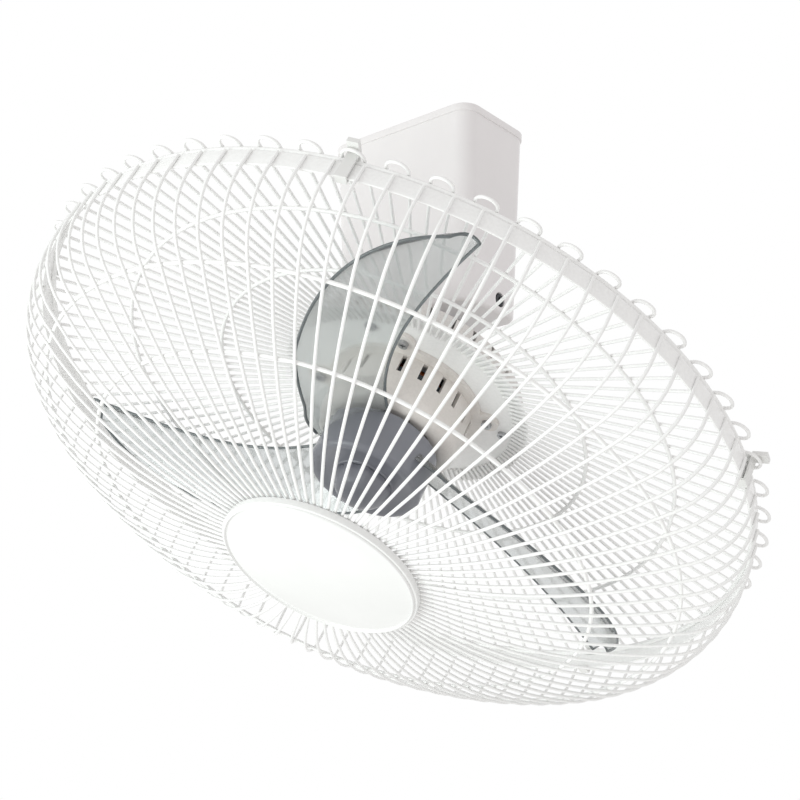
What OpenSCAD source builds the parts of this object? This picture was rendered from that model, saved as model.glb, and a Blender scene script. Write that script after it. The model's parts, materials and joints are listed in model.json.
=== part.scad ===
// Orbital ceiling fan. A plate and a hanger frame inside a boxed canopy carry a ball socket.
// The caged head hangs from the ball at a fixed tilt, and a crank leads it round in a circle.
// Millimetres, +Z up, origin at the centre of the ceiling plate's top face.
// Pieces of the head are drawn in its own frame: z runs forward along the fan's axis, and
// z = 0 is the plane of the cage's rim. Heights named _up are measured from the ball's centre.

/* [Placement] */
// Drop from the ceiling to the centre of the pivot ball
pivot_drop = 138; // [137:1:150]
// Distance from the pivot ball forward to the plane of the cage's rim
pivot_back = 66; // [66:0.5:72]
// Tilt of the fan's axis from straight down, in degrees
tilt = 28.5; // [24:0.5:28.5]
// Direction in which the head leans, in degrees from +X
lean = -101; // [-180:1:180]

/* [Cage] */
// Radius of the cage to the centres of its rim wires
ring_r = 213; // [205:1:222]
// Radius of the guard wires' section
wire_r = 0.9; // [0.7:0.05:1.0]
// Number of wires in the front guard, with 18 to each rim clip
front_wires = 90; // [90]
// Number of hairpins in the rear guard, with 12 to each rim clip
rear_hairpins = 60; // [60]
// Height of the front guard's straight side wall
wall_h = 14; // [8:1:20]
// Radius of the bend from the side wall to the face
knee_r = 40; // [32:1:50]
// Turn of that bend, in degrees
knee_turn = 60; // [54:1:64]
// Radius at which the front wires end, under the cap
boss_r = 46; // [42:1:48]
// Radius of the centre cap
cap_r = 57; // [54:1:62]
// Height of the centre cap
cap_h = 10; // [8:0.5:14]
// Radii of the hoops welded inside the front guard
front_hoops = [145, 187]; // [100:1:190]
// Radii of the hoops welded to the rear guard
rear_hoops = [112, 165]; // [90:1:200]
// Number of clips round the rim
clip_count = 5; // [5]
// Angle of the first rim clip, a multiple of 6 that is 2 off a multiple of 4
clip_first = 66; // [66:12:126]

/* [Blades] */
// Radius of the circle that the blade tips sweep
tip_r = 198; // [185:1:200]
// Widest chord of a blade
chord = 56; // [45:1:58]
// Pitch of the blade at the hub, in degrees
root_pitch = 26; // [20:1:28]
// Pitch of the blade at the tip, in degrees
tip_pitch = 15; // [10:1:20]
// Depth of the blade's camber
camber = 4; // [2:0.5:5]
// Distance by which a blade's tip is swept forward
sweep = 12; // [6:1:14]
// Depth of the hollow in a blade's leading edge
hollow = 12; // [8:1:14]
// Angle of the first blade at rest
blade_first = 2; // [-10:1:10]
// Thickness of the blade
blade_t = 2; // [1.6:0.1:2.4]
// Radius of the blade hub
hub_r = 33; // [31:0.5:34]

/* [Canopy] */
// Length of the canopy at the ceiling
canopy_l = 106; // [104:1:120]
// Width of the canopy at the ceiling
canopy_w = 62; // [62:1:72]
// Height of the canopy
canopy_h = 121; // [119:1:121]
// Inward slope of each wall from top to bottom
draft = 4; // [2:0.5:4]
// Radius of the canopy's upright corners
corner_r = 11; // [8:1:14]
// Thickness of the canopy's walls
shell_t = 2.4; // [2:0.1:2.6]

/* [Pivot and drive] */
// Radius of the pivot ball
ball_r = 15; // [14.5:0.1:15]
// Radius of the neck under the ball
neck_r = 6.5; // [5.5:0.1:6.5]
// Radius of the stub that the crank leads
stub_r = 3.5; // [3:0.1:3.5]
// Length of the stub's end from the ball's centre
stub_end = 25.5; // [24.5:0.1:25.5]
// Gap between the ball and its socket
ball_gap = 0.3; // [0.2:0.05:0.4]
// Radial clearance of the running fits
running = 0.04; // [0.02:0.01:0.08]

/* [Motor] */
// Radius of the motor shaft
shaft_r = 4; // [3.5:0.5:4]
// Radius of the stator core
stator_r = 37.3; // [36:0.1:37.3]
// Height of the stator and rotor stacks
stack_h = 14; // [12:1:14]
// Radius of the rotor core
rotor_r = 21.1; // [20:0.1:21.1]
// Number of stator slots
slots = 16; // [12:4:16]
// Radius of the rear cover's side
cover_r = 68; // [62:1:69]

/* [Ceiling mount] */
// Distance between the two ceiling screws
screw_pitch = 50.8; // [46:0.2:56]
// Radius of the ceiling screw holes
screw_hole_r = 2.6; // [2.2:0.1:3]
// Radius of the cable hole in the ceiling plate
cable_hole_r = 9.5; // [8:0.5:10]

/* [Hidden] */
$fn = 48;
cut = 1;                        // how far a cutter runs past the face that it opens
seat = 0.05;                    // gap between pieces of one body that sit on each other

plate_l = canopy_l - 8;
plate_w = canopy_w - 9;
plate_t = 2;
frame_l = 89;                   // hanger frame, over its uprights
frame_w = 36;
sheet_t = 2.5;
web_up = 29;                    // underside of the frame's web above the ball's centre
web_z = web_up - pivot_drop;
frame_top = -plate_t;
bend_r = 5;
tab_w = 12;
foot_l = 12.5;
foot_bolt = [frame_l / 2 - 8.5, 10];
flange_bolt = [30, 11];

flange_t = 3;
cup_r = 22;
crank_low = 17.3;               // crank disc, underside and top above the ball's centre
crank_high = 26;
crank_r = 18;
cup_floor = 16.8;
bush_r = 4.8;
swing_shaft_r = 3;
swing_r = 21.5;
swing_h = 16;
retainer_h = 10.5;
pin_r = 1.5;
pin_reach = 19;
slot_w = 6.4;

lip_z = -canopy_h;
canopy_screw = [6, lip_z + 8];  // place of the canopy screws: across the end face, and height
canopy_boss_r = 5.5;
canopy_recess_r = 4.4;           // bore that each canopy screw's head sits in

annulus_up = -10;               // rear face of the rear cover, below the ball's centre
recess_r = 24;                  // bowl in the rear cover that the socket swings in
cover_t = 2;
cover_rear = -pivot_back - annulus_up;
cover_screw_r = cover_r - 8.5;
cover_screw_first = 36;         // half way between two of the cover's side slots
plate_rear = -35.5;             // rear guard plate, rear and front faces
plate_front = plate_rear + 1.5;
guard_hole_r = 44;
guard_plate_r = 74;
cone_start = 62;
lug_r = 50;                     // circle of the four lugs that clamp the motor
leg_end = 66;                   // radius at which the rear guard's legs end
rim_wire_r = 1.6;
hoop_wire_r = 1.1;
band_t = 1.3;
band_h = 10;
hairpin_half = 180 / rear_hairpins / 2;

// slope of the rear guard, from its plate to the rim
weld = 0.05;                    // depth to which welded wires sink into what carries them
rear_rim_z = -5.3;
rear_slope = atan((rear_rim_z - plate_front) / (ring_r - cone_start));
leg_lift = (wire_r - weld) / cos(rear_slope);
cone_apex = plate_front + leg_lift - cone_start * tan(rear_slope);
loop_centre = ring_r + 3;

// the rim ring sits on the legs, and the front guard's band sits on the ring
rim_ring_r = ring_r - wire_r - rim_wire_r;
rim_ring_z = cone_apex + rim_ring_r * tan(rear_slope) + (wire_r + rim_wire_r - weld) / cos(rear_slope);
band_z = rim_ring_z + rim_wire_r + seat;
band_r = ring_r - wire_r + weld;

// front wire: straight wall, knee arc, then a wide arc that ends flat at the boss
wide_r = knee_r + (ring_r - knee_r - boss_r) / cos(knee_turn);
knee_centre = [ring_r - knee_r, band_z + wall_h];
wide_centre = [boss_r, knee_centre[1] - (wide_r - knee_r) * sin(knee_turn)];
face_z = wide_centre[1] + wide_r;
boss_t = 1.2;
wire_sides = 5;
knee_steps = 4;
wide_steps = 6;

// motor, from the rear to the front
neck_flange_z = -39.5;
neck_flange_r = 15;
bell_disc_z = -38;
bell_r = 40.5;
bell_wall = 2.8;
wall_vents = 20;                // vents round the front bell's wall, near its foot
wall_vent_z = -25;
bell_front = 0;
stack_z = -25;
coil_in = 25.5;
coil_out = 33.5;
coil_over = 6.6;
bearing_r = 8;
boss_wall_r = 11;
rear_bearing = [-35, -28];
front_bearing = [-8.5, 1];
hub_z = [3.5, 31];
blade_z = 16.5;
blade_in = 3;                   // where a blade's first section lies, inside the hub's wall
widest_x = 88;                  // distance along a blade at which its chord is widest
root_narrowing = 24;            // how much narrower the trailing side is at the axis
rotor_end_h = 2;
shaft_back = -34.8;
shaft_front = 41;
drive_pin_r = 1.3;

// ---------------------------------------------------------------- placing and small shapes

module at_ball() {
    translate([0, 0, -pivot_drop]) children();
}

module in_head() {
    at_ball()
        rotate([0, 180 - tilt, lean])
            translate([0, 0, pivot_back]) children();
}

// the head's own up-turned frame: z runs back from the ball along the stub
module on_stub() {
    at_ball() rotate([0, -tilt, lean]) children();
}

module ring_of(count, radius, first = 0) {
    for (i = [0:count - 1])
        rotate([0, 0, first + i * 360 / count])
            translate([radius, 0, 0]) children();
}

module at_corners(half) {
    for (sx = [-1, 1])
        for (sy = [-1, 1])
            translate([sx * half[0], sy * half[1], 0]) children();
}

module tube(outer, inner, height) {
    difference() {
        cylinder(r = outer, h = height);
        translate([0, 0, -cut]) cylinder(r = inner, h = height + 2 * cut);
    }
}

module hoop(radius, height, section) {
    translate([0, 0, height])
        rotate_extrude($fn = 180)
            translate([radius, 0]) circle(r = section, $fn = 16);
}

module rounded_rect(size, r) {
    square([size[0] - 2 * r, size[1]], center = true);
    square([size[0], size[1] - 2 * r], center = true);
    for (sx = [-1, 1])
        for (sy = [-1, 1])
            translate([sx * (size[0] / 2 - r), sy * (size[1] / 2 - r)]) circle(r = r);
}

// the head lies above z = 0 and the shank below it
module pan_screw(head_r, head_h, shank_r, shank_l) {
    difference() {
        cylinder(r = head_r, h = head_h, $fn = 24);
        for (a = [0, 90])
            rotate([0, 0, a])
                translate([0, 0, head_h]) cube([head_r * 1.1, head_r * 0.28, head_h], center = true);
    }
    translate([0, 0, -shank_l]) cylinder(r = shank_r, h = shank_l + head_h / 4, $fn = 24);
}

// ---------------------------------------------------------------- what hangs on the ceiling

module ceiling_plate() {
    color("lightsteelblue")
        difference() {
            translate([0, 0, -plate_t])
                linear_extrude(plate_t) rounded_rect([plate_l, plate_w], 8);
            translate([0, 0, -plate_t - cut]) {
                cylinder(r = cable_hole_r, h = plate_t + 2 * cut);
                for (s = [-1, 1])
                    translate([s * screw_pitch / 2, 0, 0])
                        cylinder(r = screw_hole_r, h = plate_t + 2 * cut);
                at_corners(foot_bolt) cylinder(r = 2, h = plate_t + 2 * cut, $fn = 24);
            }
        }
}

module cable_grommet() {
    bush = cable_hole_r - seat;
    color("dimgray")
        difference() {
            union() {
                translate([0, 0, -plate_t]) cylinder(r = bush, h = plate_t);
                translate([0, 0, -plate_t - 2]) cylinder(r = bush + 2.5, h = 2 - seat);
                translate([0, 0, -plate_t - 0.5]) cylinder(r = bush, h = 1);
            }
            translate([0, 0, -plate_t - 3]) cylinder(r = bush - 3, h = plate_t + 4);
        }
}

// side view of the frame: a rounded band, open at the top between its two feet
module frame_outline() {
    high = frame_top - web_z;
    difference() {
        rounded_rect([frame_l, high], bend_r);
        rounded_rect([frame_l - 2 * sheet_t, high - 2 * sheet_t], bend_r - sheet_t);
        translate([foot_l - frame_l / 2, 0]) square([frame_l - 2 * foot_l, high]);
    }
}

module hanger_frame() {
    mid = (frame_top + web_z) / 2;
    tab_top = web_z + bend_r + 3;
    tab_low = canopy_screw[1] - 4.5;
    color("silver")
        difference() {
            union() {
                translate([0, frame_w / 2, mid])
                    rotate([90, 0, 0]) linear_extrude(frame_w) frame_outline();
                for (s = [-1, 1])
                    translate([s > 0 ? frame_l / 2 - sheet_t : -frame_l / 2,
                               s > 0 ? 0 : -tab_w, tab_low])
                        cube([sheet_t, tab_w, tab_top - tab_low]);
            }
            at_corners(foot_bolt)
                translate([0, 0, frame_top - 2 * sheet_t]) cylinder(r = 2, h = 20, $fn = 24);
            at_corners(flange_bolt)
                translate([0, 0, web_z - cut])
                    cylinder(r = 2.1, h = sheet_t + 2 * cut, $fn = 24);
            translate([0, 0, web_z - cut]) cylinder(r = 9.5, h = sheet_t + 2 * cut);
            for (s = [-1, 1]) {
                // wire hole in each upright
                translate([s * (frame_l / 2 - 2 * sheet_t), 0, -22])
                    rotate([0, s * 90, 0]) cylinder(r = 6, h = 4 * sheet_t);
                // threaded hole of the canopy screw
                translate([s * (frame_l / 2 - 2 * sheet_t), s * canopy_screw[0], canopy_screw[1]])
                    rotate([0, s * 90, 0]) cylinder(r = 1.9, h = 4 * sheet_t, $fn = 24);
                // threaded hole of the swing motor's screw
                translate([s * 26.5, 0, web_z - cut])
                    cylinder(r = 1.5, h = sheet_t + 2 * cut, $fn = 24);
            }
        }
}

module frame_rivets() {
    color("gray")
        at_corners(foot_bolt) {
            translate([0, 0, frame_top - sheet_t]) cylinder(r = 1.95, h = -frame_top + sheet_t);
            translate([0, 0, frame_top - sheet_t - 1.6])
                cylinder(r1 = 2.4, r2 = 3.4, h = 1.6 - seat);
        }
}

// points of a rounded rectangle, seven to a corner
function rounded_points(half, r, z) = [
    for (corner = [0:3])
        for (step = [0:6])
            let (a = 90 * corner + 15 * step,
                 sx = (corner == 0 || corner == 3) ? 1 : -1,
                 sy = corner < 2 ? 1 : -1)
                [sx * (half[0] - r) + r * cos(a), sy * (half[1] - r) + r * sin(a), z]];

// a skin through loops of equal length, closed at its first and last loop
module skin(loops) {
    n = len(loops[0]);
    last = len(loops) - 1;
    polyhedron(
        points = [for (loop = loops) each loop],
        faces = concat(
            [[for (k = [0:n - 1]) k]],
            [for (i = [0:last - 1]) for (k = [0:n - 1])
                let (a = i * n + k, b = i * n + (k + 1) % n) each [[a, a + n, b + n], [a, b + n, b]]],
            [[for (k = [n - 1:-1:0]) last * n + k]]));
}

// the canopy's walls: half sizes at a height, drawn in by inset
function canopy_half(z, inset) =
    let (lean_in = draft * (z / lip_z) + inset)
        [canopy_l / 2 - lean_in, canopy_w / 2 - lean_in];

module canopy_cover() {
    top = -0.5;
    brim = 5;
    step = 0.8;
    floor_z = lip_z + shell_t;
    edge = 2.4;
    outside = [for (s = [[top, 0], [-brim, 0], [-brim - 0.8, step]])
        rounded_points(canopy_half(s[0], s[1]), corner_r, s[0])];
    foot = [for (a = [0:22.5:90])
        let (z = lip_z + edge * (1 - sin(90 - a)), inset = step + edge * (1 - cos(90 - a)))
            rounded_points(canopy_half(z, inset), corner_r - edge * (1 - cos(90 - a)), z)];
    inside = [for (z = [floor_z, top])
        rounded_points(canopy_half(z, step + shell_t), corner_r - shell_t, z)];
    color("white")
        difference() {
            union() {
                skin(concat([for (i = [0:1]) inside[i]], outside,
                            [for (i = [4:-1:0]) foot[i]]));
                for (s = [-1, 1])
                    translate([s * (frame_l / 2 + seat), s * canopy_screw[0], canopy_screw[1]])
                        rotate([0, s * 90, 0]) cylinder(r = canopy_boss_r, h = 3);
            }
            translate([0, 0, lip_z - cut]) cylinder(r = cup_r + 0.8, h = 3 * shell_t);
            for (s = [-1, 1])
                translate([s * frame_l / 2, s * canopy_screw[0], canopy_screw[1]])
                    rotate([0, s * 90, 0]) {
                        cylinder(r = 2.2, h = 20, $fn = 24);
                        translate([0, 0, 1.6]) cylinder(r = canopy_recess_r, h = 20);
                    }
        }
}

module canopy_screws() {
    color("dimgray")
        for (s = [-1, 1])
            translate([s * (frame_l / 2 + 1.6), s * canopy_screw[0], canopy_screw[1]])
                rotate([0, s * 90, 0])
                    translate([0, 0, seat]) pan_screw(3.4, 2, 1.8, 6);
}

module guide_grooves() {
    for (s = [-1, 1])
        translate([s * (pin_reach + 1) / 2, 0, 0])
            cube([pin_reach + 1, slot_w, 24], center = true);
}

module socket_housing() {
    color("lightslategray")
        at_ball()
            difference() {
                union() {
                    translate([0, 0, seat]) cylinder(r = cup_r, h = web_up - 2 * seat);
                    translate([0, 0, web_up - flange_t])
                        linear_extrude(flange_t - seat) rounded_rect([74, 34], 6);
                }
                sphere(r = ball_r + ball_gap, $fn = 96);
                translate([0, 0, cup_floor]) cylinder(r = crank_r + 0.7, h = web_up);
                translate([0, 0, 10]) cylinder(r1 = 10.8, r2 = 14.2, h = cup_floor - 10 + 0.01);
                intersection() {
                    guide_grooves();
                    translate([0, 0, -cut]) cylinder(r = pin_reach + 1, h = 13);
                }
                for (i = [0:3])
                    rotate([0, 0, 45 + 90 * i])
                        translate([18.6, 0, -cut]) cylinder(r = 1.35, h = 10, $fn = 24);
                at_corners(flange_bolt)
                    translate([0, 0, web_up - 2 * flange_t])
                        cylinder(r = 1.9, h = 3 * flange_t, $fn = 24);
            }
}

module socket_bolts() {
    color("gray")
        at_ball()
            at_corners(flange_bolt)
                translate([0, 0, web_up + sheet_t + seat])
                    pan_screw(3.5, 2.6, 1.85, sheet_t + flange_t);
}

module socket_retainer() {
    low_r = 16.6;
    color("slategray")
        at_ball()
            difference() {
                union() {
                    translate([0, 0, -3]) cylinder(r = cup_r, h = 3);
                    translate([0, 0, -retainer_h]) cylinder(r1 = low_r, r2 = cup_r, h = retainer_h - 3);
                }
                sphere(r = ball_r + ball_gap, $fn = 96);
                translate([0, 0, -retainer_h - cut])
                    cylinder(r1 = 14.8, r2 = 12.7, h = cut + retainer_h - 8.6);
                intersection() {
                    guide_grooves();
                    translate([0, 0, -2 * retainer_h]) cylinder(r = pin_reach + 1, h = 30);
                }
                for (i = [0:3])
                    rotate([0, 0, 45 + 90 * i])
                        translate([18.6, 0, -retainer_h - cut]) {
                            cylinder(r = 1.5, h = 2 * retainer_h, $fn = 24);
                            cylinder(r = 2.6, h = retainer_h + cut - 4, $fn = 24);
                        }
            }
}

module retainer_screws() {
    color("gray")
        at_ball()
            for (i = [0:3])
                rotate([0, 0, 45 + 90 * i])
                    translate([18.6, 0, -4 - seat])
                        rotate([180, 0, 0]) pan_screw(2.4, 1.5, 1.3, 10);
}

module swing_motor() {
    low = web_z + sheet_t + seat;
    color("darkkhaki")
        difference() {
            union() {
                translate([0, 0, low]) cylinder(r = swing_r, h = swing_h);
                translate([0, 0, low + swing_h]) cylinder(r1 = swing_r - 1, r2 = swing_r - 3, h = 2);
                translate([0, 0, low])
                    linear_extrude(1.6) {
                        square([53, 9], center = true);
                        for (s = [-1, 1]) translate([s * 26.5, 0]) circle(r = 4.5);
                    }
                translate([-6, -swing_r - 1, low + 3]) cube([12, 10, 9]);
                translate([0, 0, low - sheet_t / 2]) cylinder(r = 6, h = 3);
            }
            translate([0, 0, low - sheet_t])
                cylinder(r = swing_shaft_r + running, h = 14 + sheet_t);
            for (s = [-1, 1])
                translate([s * 26.5, 0, low - cut]) cylinder(r = 1.7, h = 5, $fn = 24);
        }
}

module swing_motor_screws() {
    color("gray")
        for (s = [-1, 1])
            translate([s * 26.5, 0, web_z + sheet_t + 1.6 + 2 * seat])
                pan_screw(3, 2, 1.45, 4);
}

module terminal_block() {
    ways = 3;
    pitch = 9;
    color("ivory")
        translate([-frame_l / 2 + sheet_t + seat, 0, -48])
            difference() {
                union() {
                    translate([0, -15, 0]) cube([4, 30, 17]);
                    for (i = [0:ways - 1])
                        translate([0, (i - 1) * pitch - 3.6, 0]) cube([13, 7.2, 17]);
                }
                for (i = [0:ways - 1]) {
                    translate([6, (i - 1) * pitch, -cut]) cylinder(r = 2, h = 20, $fn = 24);
                    for (h = [4, 13])
                        translate([6, (i - 1) * pitch, h])
                            rotate([0, 90, 0]) cylinder(r = 1.8, h = 10, $fn = 24);
                }
            }
}

module run_capacitor() {
    color("whitesmoke")
        translate([frame_l / 2 - sheet_t - 17 - seat, 0, -50])
            difference() {
                union() {
                    translate([8.5, 0, 0])
                        rotate([90, 0, 0]) translate([0, 0, -17])
                            linear_extrude(34) rounded_rect([17, 27], 2);
                    for (s = [-1, 1])
                        translate([8.5, s * 8, 13]) cylinder(r = 1.4, h = 4, $fn = 24);
                }
                translate([8.5, -18, -13.5]) cube([1, 36, 1]);
            }
}

module capacitor_clip() {
    inner = 17 + 2 * seat;
    color("gray")
        translate([frame_l / 2 - sheet_t - inner, 0, -50])
            difference() {
                translate([-0.8, -5, -14.4]) cube([inner + 0.8 - seat, 10, 28.8]);
                translate([0, -6, -13.6]) cube([inner + 2, 12, 27.2]);
            }
}

// ---------------------------------------------------------------- crank

module crank_disc() {
    color("goldenrod")
        difference() {
            at_ball() {
                translate([0, 0, crank_low]) cylinder(r = crank_r, h = crank_high - crank_low);
                translate([0, 0, crank_high - 1]) cylinder(r = 7, h = 5);
            }
            on_stub() cylinder(r = bush_r, h = stub_end + 0.6);
            at_ball() {
                translate([0, 0, crank_low + 2]) cylinder(r = swing_shaft_r, h = 20);
                translate([0, 0, crank_high + 1.8])
                    rotate([0, 0, lean + 180])
                        rotate([0, 90, 0]) cylinder(r = 1.2, h = 10, $fn = 24);
            }
        }
}

module crank_bush() {
    color("peru")
        intersection() {
            on_stub()
                difference() {
                    cylinder(r = bush_r - 0.02, h = stub_end + 0.5);
                    translate([0, 0, -cut]) cylinder(r = stub_r + running, h = stub_end + 2 * cut);
                }
            at_ball() translate([0, 0, crank_low]) cylinder(r = crank_r, h = 8);
        }
}

module swing_shaft() {
    color("silver")
        at_ball()
            translate([0, 0, crank_low + 2 + seat])
                cylinder(r = swing_shaft_r - 0.01, h = web_up + sheet_t + 12 - crank_low - 2);
}

module crank_screw() {
    color("dimgray")
        at_ball()
            translate([0, 0, crank_high + 1.8])
                rotate([0, 0, lean + 180])
                    rotate([0, 90, 0])
                        translate([0, 0, swing_shaft_r]) cylinder(r = 1.15, h = 3.6, $fn = 24);
}

// ---------------------------------------------------------------- head: pivot and covers

module pivot_ball() {
    flange_from = -pivot_back - neck_flange_z;
    color("silver")
        difference() {
            on_stub() {
                sphere(r = ball_r, $fn = 96);
                cylinder(r = stub_r, h = stub_end);
                translate([0, 0, flange_from]) cylinder(r = neck_r, h = -flange_from);
                translate([0, 0, flange_from - 2.5 + seat])
                    cylinder(r = neck_flange_r, h = 2.5);
            }
            on_stub()
                ring_of(4, 11.5)
                    translate([0, 0, flange_from - 3]) cylinder(r = 1.5, h = 5, $fn = 24);
            on_stub()
                rotate([0, 0, -lean])
                    rotate([0, 90, 0])
                        translate([0, 0, -20]) cylinder(r = pin_r, h = 40, $fn = 24);
        }
}

module guide_pin() {
    color("darkgray")
        on_stub()
            rotate([0, 0, -lean])
                rotate([0, 90, 0])
                    translate([0, 0, -pin_reach]) cylinder(r = pin_r - 0.01, h = 2 * pin_reach);
}

module neck_screws() {
    color("dimgray")
        in_head()
            ring_of(4, 11.5)
                translate([0, 0, neck_flange_z - seat])
                    rotate([180, 0, 0]) pan_screw(2.3, 1.4, 1.35, 4.8);
}

// section of the rear cover's body from the axis outwards, drawn in by inset
module cover_section(inset) {
    shoulder = 16;
    flat = cover_r - shoulder;
    square_from = cover_rear + shoulder;
    intersection() {
        union() {
            translate([0, cover_rear + inset]) square([flat, shoulder]);
            translate([0, square_from]) square([cover_r - inset, shoulder]);
            translate([flat, square_from]) circle(r = shoulder - inset, $fn = 96);
        }
        translate([0, cover_rear]) square([cover_r, plate_rear - cover_rear]);
    }
}

module rear_cover() {
    side_slots = 30;
    back_slots = 20;
    color("whitesmoke")
        in_head()
            difference() {
                union() {
                    difference() {
                        rotate_extrude($fn = 120) cover_section(0);
                        difference() {
                            rotate_extrude($fn = 120) cover_section(cover_t);
                            translate([0, 0, -pivot_back]) sphere(r = recess_r + cover_t, $fn = 96);
                        }
                    }
                    translate([0, 0, plate_rear - 2])
                        tube(cover_r + 2, cover_r - cover_t, 2 - seat);
                    // bosses for the screws, inside the wall
                    intersection() {
                        rotate_extrude($fn = 120) cover_section(0);
                        ring_of(3, cover_screw_r, cover_screw_first)
                            translate([0, 0, cover_rear]) cylinder(r = 4.5, h = -cover_rear);
                    }
                }
                translate([0, 0, -pivot_back]) sphere(r = recess_r, $fn = 96);
                translate([0, 0, -pivot_back]) cylinder(r = neck_r + 1.2, h = 40);
                ring_of(side_slots, cover_r - 9, 6)
                    translate([0, -1.3, cover_rear + 5.5]) cube([20, 2.6, 10]);
                ring_of(back_slots, 32, 9)
                    translate([0, -1.3, cover_rear - cut]) cube([14, 2.6, cover_t + 2 * cut]);
                ring_of(3, cover_screw_r, cover_screw_first)
                    translate([0, 0, plate_rear - 10]) cylinder(r = 1.65, h = 12, $fn = 24);
            }
}

module rear_cover_screws() {
    color("gray")
        in_head()
            ring_of(3, cover_screw_r, cover_screw_first)
                translate([0, 0, plate_front + seat]) pan_screw(2.8, 1.8, 1.6, 10);
}

// plan of an end bell's flange: a disc with four lugs
module lug_plan() {
    circle(r = 46);
    for (a = [45:90:315]) rotate(a) translate([lug_r, 0]) circle(r = 6.5);
    for (a = [45:90:315]) rotate(a) translate([40, -6.5]) square([10, 13]);
}

module lug_holes(r) {
    ring_of(4, lug_r, 45) translate([0, 0, -60]) cylinder(r = r, h = 80, $fn = 24);
}

module rear_end_bell() {
    color("lightgray")
        in_head()
            difference() {
                union() {
                    translate([0, 0, bell_disc_z])
                        linear_extrude(plate_rear - bell_disc_z - seat) lug_plan();
                    translate([0, 0, -37]) cylinder(r = 17, h = 2.5);
                    translate([0, 0, -37]) cylinder(r = boss_wall_r, h = 9);
                    translate([0, 0, plate_rear - 0.5])
                        tube(guard_hole_r - 0.3, bell_r - bell_wall, plate_front - plate_rear + 0.45);
                }
                translate([0, 0, bell_disc_z - cut]) cylinder(r = neck_flange_r + 0.6, h = 2);
                translate([0, 0, rear_bearing[0]]) cylinder(r = bearing_r, h = 20);
                ring_of(4, 11.5)
                    translate([0, 0, -38]) cylinder(r = 1.35, h = 3.4, $fn = 24);
                ring_of(8, 28, 22.5)
                    translate([0, 0, bell_disc_z - cut]) cylinder(r = 4, h = 10, $fn = 24);
                lug_holes(1.6);
            }
}

// section of the front bell's dome from the axis outwards, drawn in by inset
module bell_section(inset) {
    shoulder = 9;
    flat = bell_r - shoulder;
    translate([0, plate_front]) square([flat, bell_front - inset - plate_front]);
    translate([0, plate_front]) square([bell_r - inset, -plate_front - shoulder]);
    translate([flat, -shoulder]) circle(r = shoulder - inset);
}

module front_end_bell() {
    color("gainsboro")
        in_head()
            difference() {
                union() {
                    difference() {
                        union() {
                            rotate_extrude($fn = 96) bell_section(0);
                            translate([0, 0, plate_front + seat])
                                linear_extrude(2.5) lug_plan();
                        }
                        translate([0, 0, -0.01])
                            rotate_extrude($fn = 96) bell_section(bell_wall);
                        translate([0, 0, plate_front - cut])
                            cylinder(r = bell_r - bell_wall, h = 10);
                    }
                    translate([0, 0, front_bearing[0]])
                        cylinder(r = boss_wall_r, h = front_bearing[1] + 0.8 - front_bearing[0]);
                }
                translate([0, 0, front_bearing[0] - cut])
                    cylinder(r = bearing_r, h = front_bearing[1] - front_bearing[0] + cut);
                cylinder(r = shaft_r + 0.6, h = 10);
                ring_of(12, 17, 15)
                    translate([0, -1.5, -6]) cube([13, 3, 10]);
                ring_of(wall_vents, bell_r - bell_wall / 2, 7)
                    translate([0, 0, wall_vent_z])
                        cube([bell_wall + 2 * cut, 2.8, 11], center = true);
                lug_holes(1.8);
            }
}

module end_bell_screws() {
    color("dimgray")
        in_head()
            ring_of(4, lug_r, 45)
                translate([0, 0, plate_front + 2.5 + 2 * seat]) pan_screw(3, 2, 1.55, 7.2);
}

module bush(span) {
    translate([0, 0, span[0]])
        tube(bearing_r - 0.02, shaft_r + running, span[1] - span[0] - seat);
}

module rear_bearing_bush() {
    color("peru") in_head() bush(rear_bearing);
}

module front_bearing_bush() {
    color("peru") in_head() bush(front_bearing);
}

module stator_core() {
    color("dimgray")
        in_head()
            translate([0, 0, stack_z])
                linear_extrude(stack_h)
                    difference() {
                        circle(r = stator_r, $fn = 96);
                        circle(r = rotor_r + 0.5, $fn = 96);
                        for (i = [0:slots - 1])
                            rotate(i * 360 / slots) {
                                translate([29.5, 0]) circle(r = 3.2, $fn = 24);
                                translate([rotor_r, -0.8]) square([8, 1.6]);
                            }
                    }
}

module stator_windings() {
    wide = coil_out - coil_in;
    color("chocolate")
        in_head() {
            for (z = [stack_z - seat - coil_over / 2, stack_z + stack_h + seat + coil_over / 2])
                translate([0, 0, z])
                    rotate_extrude($fn = 96)
                        translate([(coil_in + coil_out) / 2, 0]) rounded_rect([wide, coil_over], 2.6);
            ring_of(slots, 29.5)
                translate([0, 0, stack_z - 1]) cylinder(r = 3, h = stack_h + 2, $fn = 24);
        }
}

// ---------------------------------------------------------------- head: the cage

module rear_guard_plate() {
    rise = (guard_plate_r - cone_start) * tan(rear_slope);
    color("white")
        in_head()
            difference() {
                rotate_extrude($fn = 120)
                    polygon([[guard_hole_r, plate_rear], [cone_start, plate_rear],
                             [guard_plate_r, plate_rear + rise], [guard_plate_r, plate_front + rise],
                             [cone_start, plate_front], [guard_hole_r, plate_front]]);
                lug_holes(1.8);
                ring_of(3, cover_screw_r, cover_screw_first)
                    translate([0, 0, plate_rear - cut]) cylinder(r = 1.8, h = 6, $fn = 24);
            }
}

// one rear wire, bent double: two legs and the loop that stands out beyond the rim
module hairpin() {
    leg_l = loop_centre * cos(hairpin_half);
    loop_r = loop_centre * sin(hairpin_half);
    for (s = [-1, 1])
        rotate([0, 0, s * hairpin_half])
            translate([leg_end, 0, 0])
                rotate([0, 90, 0]) cylinder(r = wire_r, h = leg_l - leg_end, $fn = 16);
    translate([loop_centre, 0, 0])
        rotate([0, 0, -90 - hairpin_half])
            rotate_extrude(angle = 180 + 2 * hairpin_half, $fn = 48)
                translate([loop_r, 0]) circle(r = wire_r, $fn = 16);
}

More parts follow.
